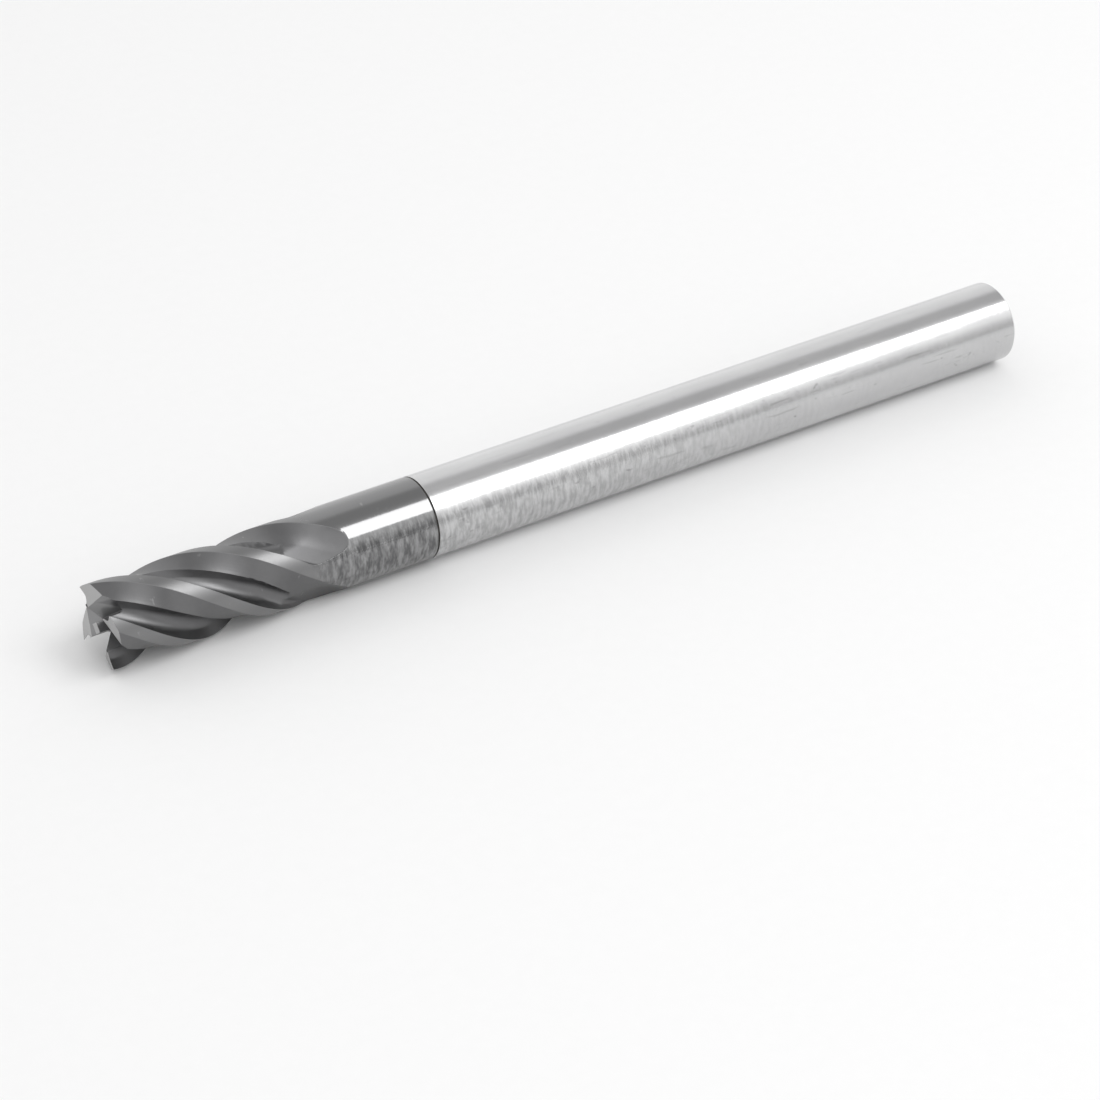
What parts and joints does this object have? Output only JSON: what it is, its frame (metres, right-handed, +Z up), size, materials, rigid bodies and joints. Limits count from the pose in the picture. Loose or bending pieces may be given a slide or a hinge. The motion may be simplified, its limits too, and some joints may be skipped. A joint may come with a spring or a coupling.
{
  "type": "end mill",
  "caption": "Long square-end milling cutter: a fluted head brazed end to end onto a plain round shank of the same diameter.",
  "frame": {"origin": "centre of the shank's flat rear face", "axes": "+X along the tool axis, out of the rear face; the cutting tip points along -X; +Z up when the tool lies on its side"},
  "size_m": [0.101, 0.008, 0.008],
  "materials": {
    "carbide": "ground",
    "braze": "tarnished",
    "steel": "ground, bright"
  },
  "bodies": {
    "root": {"cutting_head": "carbide", "braze_joint": "braze", "shank": "steel"}
  },
  "joints": []
}
